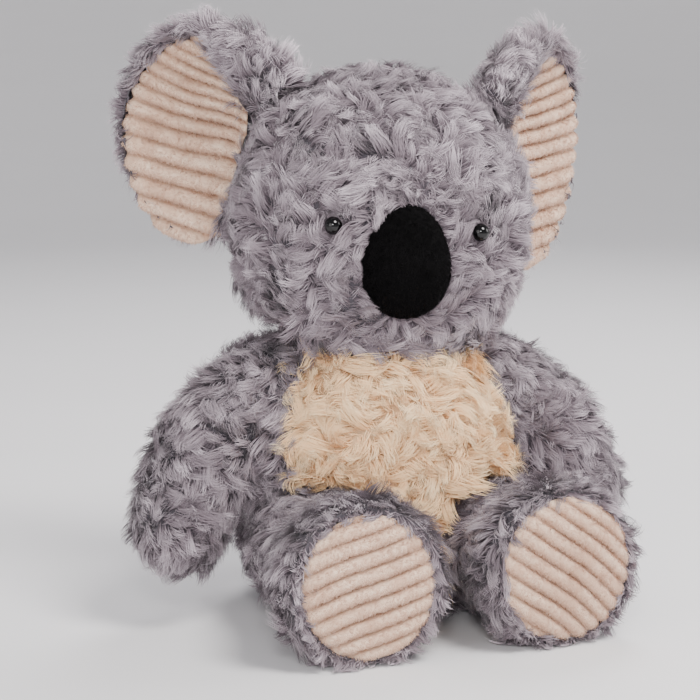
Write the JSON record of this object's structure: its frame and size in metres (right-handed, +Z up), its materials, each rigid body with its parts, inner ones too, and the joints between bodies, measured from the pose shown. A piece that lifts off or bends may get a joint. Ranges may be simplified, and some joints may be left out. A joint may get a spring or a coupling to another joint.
{
  "type": "plush koala toy",
  "caption": "Seated plush koala with fur skins, big ribbed ears that fold, a padded velour nose, glossy bead eyes, and a head, arms and legs that move on their sewn seams.",
  "frame": {"origin": "middle of the flat seat under the body", "axes": "+Z up, the toy faces -Y, and its own left side is +X"},
  "size_m": [0.3489, 0.2713, 0.3817],
  "materials": {
    "grey_fur": "long curled pile",
    "cream_fur": "long curled pile",
    "ribbed_velour": "short ribbed pile",
    "black_velour": "short pile",
    "glossy_black": "polished",
    "white_plastic": "moulded",
    "white_fibre": "loose fibre"
  },
  "bodies": {
    "body": {"body_skin": "grey_fur", "belly_panel": "cream_fur", "body_filling": "white_fibre"},
    "head": {"head_skin": "grey_fur", "head_filling": "white_fibre", "nose": "black_velour", "eye_left": "glossy_black", "eye_right": "glossy_black", "eye_washer_left": "white_plastic", "eye_washer_right": "white_plastic"},
    "ear_left": {"ear_back_left": "grey_fur", "ear_lining_left": "ribbed_velour"},
    "ear_right": {"ear_back_right": "grey_fur", "ear_lining_right": "ribbed_velour"},
    "arm_left": {"arm_skin_left": "grey_fur", "arm_filling_left": "white_fibre"},
    "arm_right": {"arm_skin_right": "grey_fur", "arm_filling_right": "white_fibre"},
    "leg_left": {"leg_skin_left": "grey_fur", "leg_filling_left": "white_fibre", "sole_left": "ribbed_velour"},
    "leg_right": {"leg_skin_right": "grey_fur", "leg_filling_right": "white_fibre", "sole_right": "ribbed_velour"}
  },
  "joints": [
    {"name": "neck_turn", "type": "hinge", "parent": "body", "child": "head", "pos_m": [0, 0.012, 0.187], "axis": [0.0422, -0.2521, 0.9668], "range_deg": [-25, 25], "stiffness_Nm_per_rad": 1},
    {"name": "ear_fold_left", "type": "hinge", "parent": "head", "child": "ear_left", "pos_m": [0.0943, 0.00504, 0.29165], "axis": [0.0437, -0.0243, 0.9987], "range_deg": [-15, 15], "stiffness_Nm_per_rad": 0.3},
    {"name": "ear_fold_right", "type": "hinge", "parent": "head", "child": "ear_right", "pos_m": [-0.07838, 0.02264, 0.30378], "axis": [0.0909, -0.0291, 0.9954], "range_deg": [-15, 15], "stiffness_Nm_per_rad": 0.3},
    {"name": "arm_lift_left", "type": "hinge", "parent": "body", "child": "arm_left", "pos_m": [0.076, 0.004, 0.1435], "axis": [0, -1, 0], "range_deg": [0, 38]},
    {"name": "arm_lift_right", "type": "hinge", "parent": "body", "child": "arm_right", "pos_m": [-0.076, 0.004, 0.1435], "axis": [0, 1, 0], "range_deg": [0, 38]},
    {"name": "leg_splay_left", "type": "hinge", "parent": "body", "child": "leg_left", "pos_m": [0.057, -0.046, 0.047], "axis": [0, 0, 1], "range_deg": [0, 15], "stiffness_Nm_per_rad": 0.5},
    {"name": "leg_splay_right", "type": "hinge", "parent": "body", "child": "leg_right", "pos_m": [-0.057, -0.046, 0.047], "axis": [0, 0, -1], "range_deg": [0, 15], "stiffness_Nm_per_rad": 0.5}
  ]
}
